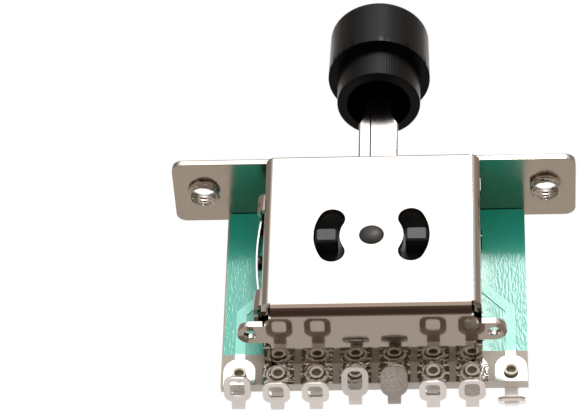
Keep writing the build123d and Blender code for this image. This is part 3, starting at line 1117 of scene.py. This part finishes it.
@dataclass
class BoardAssembly:
    """The circuit board with its tracks, eyelets, lugs and solder.

    Attributes:
        lugs: how many lugs stand along its lower edge.
        filled: the lugs whose eyes hold solder.
        wetted: the pads whose eyelets stand in solder.
        pitch_mm: the distance between two lugs.
        middle_mm: the X of the row's middle.
        eyelet_z_mm: the height of the eyelets.
        solder_y_mm: where the solder round an eyelet lies on its pad.
        solder_radius_mm: how far from the eyelet's axis it runs.
        board_edge_mm: the width of the board's broken edges, and of the eyelets'.
        track_edge_mm: the width of the tracks'.
        lug_edge_mm: the width of the lugs'.
        bent: the finishes of the lugs whose arms aren't level.
    """

    lugs: int = 8
    filled: tuple[int, ...] = (5, 7)
    wetted: tuple[int, ...] = (2, 3, 4, 5, 6, 7)
    pitch_mm: float = 4.55
    middle_mm: float = 0.17
    eyelet_z_mm: float = -26.1
    solder_y_mm: float = 4.0
    solder_radius_mm: float = 1.2
    board_edge_mm: float = 0.05
    track_edge_mm: float = 0.03
    lug_edge_mm: float = 0.1
    bent: dict[int, Finish] = field(
        default_factory=lambda: {1: FIRST_TIN, 4: RAISED_TIN, 5: WETTED_TIN, 8: LOWERED_TIN}
    )

    def build(self) -> None:
        """Build the board and all that is clinched to it."""
        edge_mm = self.board_edge_mm
        DressedSolid("circuit_board", BOARD, "board_laminate", edge_mm).build()
        DressedSolid("contact_tracks", TRACK, "track_copper", self.track_edge_mm).build()
        for index in range(1, self.lugs + 1):
            DressedSolid(f"eyelet_{index}", EYELET_TIN, "eyelet_tin", edge_mm).build()
            tin = self.bent.get(index, TIN)
            DressedSolid(f"solder_lug_{index}", tin, "lug_tin", self.lug_edge_mm).build()
        for index in self.filled:
            DressedSolid(f"solder_bead_{index}", SOLDER, "solder_alloy", edge_mm=0).build()
        for index in self.wetted:
            self.build_fillet(index)

    def build_fillet(self, index: int) -> None:
        """Build the solder round one eyelet.

        Args:
            index: the eyelet's number, from the left.
        """
        x_mm = self.middle_mm + (index - (self.lugs + 1) / 2) * self.pitch_mm
        ring = LumpyRing(
            centre_mm=(x_mm, self.solder_y_mm, self.eyelet_z_mm),
            radius_mm=self.solder_radius_mm,
            thick_mm=0.2,
            lump_mm=0.35,
            grain_mm=0.5,
            finish=FILLET,
            facing=(math.pi / 2, 0, 0),
        )
        ring.build(f"solder_fillet_{index}")


@dataclass
class LeverAssembly:
    """What swings: the lever with its knob, the rotor and the two wipers.

    Attributes:
        lever_edge_mm: the width of the lever's broken edges.
        moulded_edge_mm: the width of the knob's and the rotor's.
        wiper_edge_mm: the width of the wipers'.
    """

    lever_edge_mm: float = 0.06
    moulded_edge_mm: float = 0.12
    wiper_edge_mm: float = 0.02

    def build(self) -> None:
        """Build the lever, the knob, the rotor and the wipers."""
        DressedSolid("lever", LEVER_NICKEL, "lever_nickel", self.lever_edge_mm).build()
        DressedSolid("knob", KNOB, "knob_plastic", self.moulded_edge_mm).build()
        DressedSolid("rotor", NYLON, "rotor_plastic", self.moulded_edge_mm).build()
        for side in ("left", "right"):
            DressedSolid(f"wiper_{side}", BRONZE, "wiper_bronze", self.wiper_edge_mm).build()


@dataclass(frozen=True)
class Lobe:
    """One soft region of the studio that metal mirrors.

    Attributes:
        towards: the way that it lies from the object.
        colour: its colour as sRGB hex.
        strength: how bright it is.
        inner: the angle in degrees inside which it is full.
        outer: the angle where it has faded out.
    """

    towards: tuple[float, float, float]
    colour: str
    strength: float
    inner: float
    outer: float


@dataclass(frozen=True)
class Lamp:
    """One round lamp that faces the object.

    Attributes:
        title: the lamp's name.
        place_mm: where it hangs.
        width_mm: how wide it is.
        power: its power in watts.
        mirrored: whether glossy surfaces show it.
    """

    title: str
    place_mm: tuple[float, float, float]
    width_mm: float
    power: float
    mirrored: bool = True

    def build(self) -> None:
        """Hang the lamp."""
        data = bpy.data.lights.new(self.title, "AREA")
        data.shape = "DISK"
        data.size = self.width_mm * MM
        data.energy = self.power
        lamp = bpy.data.objects.new(self.title, data)
        bpy.context.scene.collection.objects.link(lamp)
        lamp.location = Vector(self.place_mm) * MM
        lamp.rotation_euler = lamp.location.to_track_quat("Z", "Y").to_euler()
        lamp.visible_glossy = self.mirrored


@dataclass
class Studio:
    """A white studio: the world's soft regions and the lamps.

    Attributes:
        backdrop: the colour that the camera sees behind the object.
        base: the colour of what metal mirrors outside the lobes.
        lobes: the regions, each laid over the ones before it.
        lamps: the lamps.
    """

    backdrop: str = "#ffffff"
    base: str = "#c4bbb5"
    lobes: list[Lobe] = field(
        default_factory=lambda: [
            # the white behind and above the object
            Lobe((0.0, 0.75, 0.66), "#ffffff", 1.2, 20, 38),
            Lobe((0.0, -0.6, 0.8), "#ffffff", 0.95, 34, 56),
            # the warm light before it, which the bends and the solder catch
            Lobe((0.0, -0.99, 0.14), "#fbe6d8", 0.7, 10, 18),
            Lobe((0.0, -0.98, -0.17), "#fbe6d8", 0.7, 10, 18),
            # what the side bends mirror
            Lobe((-0.85, -0.05, 0.53), "#b9aca4", 0.66, 22, 42),
            Lobe((0.85, -0.05, 0.53), "#cbbbb1", 0.66, 22, 42),
            # the dark ground round the camera, with a thin lighter line in it
            Lobe((0.0, -0.743, -0.669), "#6c594e", 0.66, 17, 27),
            Lobe((0.0, -0.309, -0.951), "#5a473e", 0.66, 19, 29),
            Lobe((0.0, 0.208, -0.978), "#5a473e", 0.66, 17, 27),
            Lobe((0.0, 0.25, -0.97), "#95867e", 0.66, 3, 7),
            # what the faces underneath mirror
            Lobe((0.0, 0.83, -0.56), "#ebe0d6", 0.68, 27, 38),
            # a dark gap overhead, which draws the upper edges
            Lobe((0.0, 0.2, 0.98), "#3a2f28", 0.66, 7, 13),
            # the soft box that the front faces mirror
            Lobe((-0.058, -0.75, 0.66), "#ffffff", 2.2, 14, 24),
        ]
    )
    lamps: tuple[Lamp, ...] = (
        Lamp("key_lamp", (80.0, -450.0, 396.0), 90.0, 0.86),
        Lamp("front_fill", (0.0, -690.0, 578.0), 300.0, 1.3, mirrored=False),
        Lamp("lower_fill", (0.0, -90.0, -895.0), 400.0, 6.2, mirrored=False),
    )

    def build(self) -> None:
        """Light the scene and lay its floor."""
        self.build_world()
        for lamp in self.lamps:
            lamp.build()
        Floor().build()

    def build_world(self) -> None:
        """Make the world: white to the camera, and a studio to all that mirrors it."""
        world = bpy.data.worlds.new("studio")
        bpy.context.scene.world = world
        world.use_nodes = True
        tree = world.node_tree
        tree.nodes.clear()
        way = add_node(tree, "TexCoord").outputs["Generated"]
        shade = linear(self.base)
        for lobe in self.lobes:
            shade = self.lay(tree, way, lobe, shade)
        ray = add_node(tree, "LightPath").outputs["Is Camera Ray"]
        seen = add_node(
            tree, "Mix", {0: ray, 6: shade, 7: linear(self.backdrop)}, data_type="RGBA"
        ).outputs[2]
        glow = add_node(tree, "Background", {"Color": seen}).outputs[0]
        add_node(tree, "OutputWorld", {"Surface": glow})

    def lay(
        self, tree: NodeTree, way: NodeSocket, lobe: Lobe, under: NodeSocket | tuple[float, ...]
    ) -> NodeSocket:
        """Lay a soft region over what the world shows so far.

        Args:
            tree: the world's nodes.
            way: the direction that is looked in.
            lobe: the region.
            under: the colour, or its socket, below it.

        Returns:
            The socket of the new colour.
        """
        towards = Vector(lobe.towards).normalized()
        close = add_node(
            tree, "VectorMath", {0: way, 1: towards}, operation="DOT_PRODUCT"
        ).outputs["Value"]
        share = add_node(
            tree,
            "MapRange",
            {
                "Value": close,
                "From Min": math.cos(math.radians(lobe.outer)),
                "From Max": math.cos(math.radians(lobe.inner)),
            },
            interpolation_type="SMOOTHSTEP",
        ).outputs[0]
        light = (*(c * lobe.strength for c in linear(lobe.colour)[:3]), 1.0)
        return add_node(tree, "Mix", {0: share, 6: under, 7: light}, data_type="RGBA").outputs[2]


@dataclass
class Floor:
    """A plain pale floor, far enough below to leave the view from underneath free.

    Attributes:
        drop_m: how far it lies below the mounting plate.
        width_m: how wide it is.
        colour: its colour as sRGB hex.
        roughness: how blurred its reflections are.
        glow: the colour that the camera sees added to it.
        lift: how strong that glow is.
    """

    drop_m: float = 0.34
    width_m: float = 12.0
    colour: str = "#f4f3f1"
    roughness: float = 0.9
    glow: str = "#ffffff"
    lift: float = 0.3

    def build(self) -> Object:
        """Lay the floor.

        Returns:
            The floor, which metal doesn't mirror.
        """
        deselect()
        bpy.ops.mesh.primitive_plane_add(size=self.width_m, location=(0, 0, -self.drop_m))
        floor = bpy.context.object
        floor.name = "pale_floor"
        floor.visible_glossy = False
        floor.data.materials.append(self.material())
        return floor

    def material(self) -> Material:
        """Make matt white board.

        Returns:
            The floor's material.
        """
        made = bpy.data.materials.new("matt white board")
        made.use_nodes = True
        tree = made.node_tree
        shader = tree.nodes["Principled BSDF"]
        shader.inputs["Base Color"].default_value = linear(self.colour)
        shader.inputs["Roughness"].default_value = self.roughness
        shader.inputs["Emission Color"].default_value = linear(self.glow)
        seen = add_node(tree, "LightPath").outputs["Is Camera Ray"]
        strength = add_node(tree, "Math", {0: seen, 1: self.lift}, operation="MULTIPLY").outputs[0]
        tree.links.new(strength, shader.inputs["Emission Strength"])
        return made


@dataclass
class Viewpoint:
    """The photograph's camera.

    Attributes:
        azimuth: how far it looks to the right of +Y, in degrees.
        elevation: how far it looks up.
        roll: how far it is turned about its own axis.
        place_mm: where it stands.
        focal_px: its focal length in the photograph's pixels.
        width_px: the photograph's width.
        sensor_mm: its sensor's width.
        clip_m: the nearest and the farthest that it sees.
    """

    azimuth: float = -4.415
    elevation: float = 41.255
    roll: float = 1.905
    place_mm: tuple[float, float, float] = (14.74, -323.69, -288.28)
    focal_px: float = 3581.09
    width_px: float = 578.0
    sensor_mm: float = 36.0
    clip_m: tuple[float, float] = (0.01, 10.0)

    def build(self) -> None:
        """Set the camera up."""
        turn, tilt = math.radians(self.azimuth), math.radians(self.elevation)
        ahead = Vector(
            (math.sin(turn) * math.cos(tilt), math.cos(turn) * math.cos(tilt), math.sin(tilt))
        )
        level = Vector((math.cos(turn), -math.sin(turn), 0))
        above = level.cross(ahead)
        swing = math.radians(self.roll)
        right = level * math.cos(swing) + above * math.sin(swing)
        up = above * math.cos(swing) - level * math.sin(swing)
        data = bpy.data.cameras.new("photo_camera")
        data.sensor_width = self.sensor_mm
        data.lens = self.sensor_mm * self.focal_px / self.width_px
        data.clip_start, data.clip_end = self.clip_m
        camera = bpy.data.objects.new("photo_camera", data)
        bpy.context.scene.collection.objects.link(camera)
        turned = Matrix((right, up, -ahead)).transposed().to_4x4()
        camera.matrix_world = Matrix.Translation(Vector(self.place_mm) * MM) @ turned
        bpy.context.scene.camera = camera


def main() -> None:
    """Build the studio, the camera and every sub-assembly."""
    logging.basicConfig(level=logging.INFO, format="%(message)s")
    bpy.context.scene.view_settings.view_transform = "Standard"
    Viewpoint().build()
    Studio().build()
    for assembly in (PlateAssembly(), BoxAssembly(), BoardAssembly(), LeverAssembly()):
        LOG.info("%s", type(assembly).__name__)
        assembly.build()
    deselect()


if __name__ == "__main__":
    main()
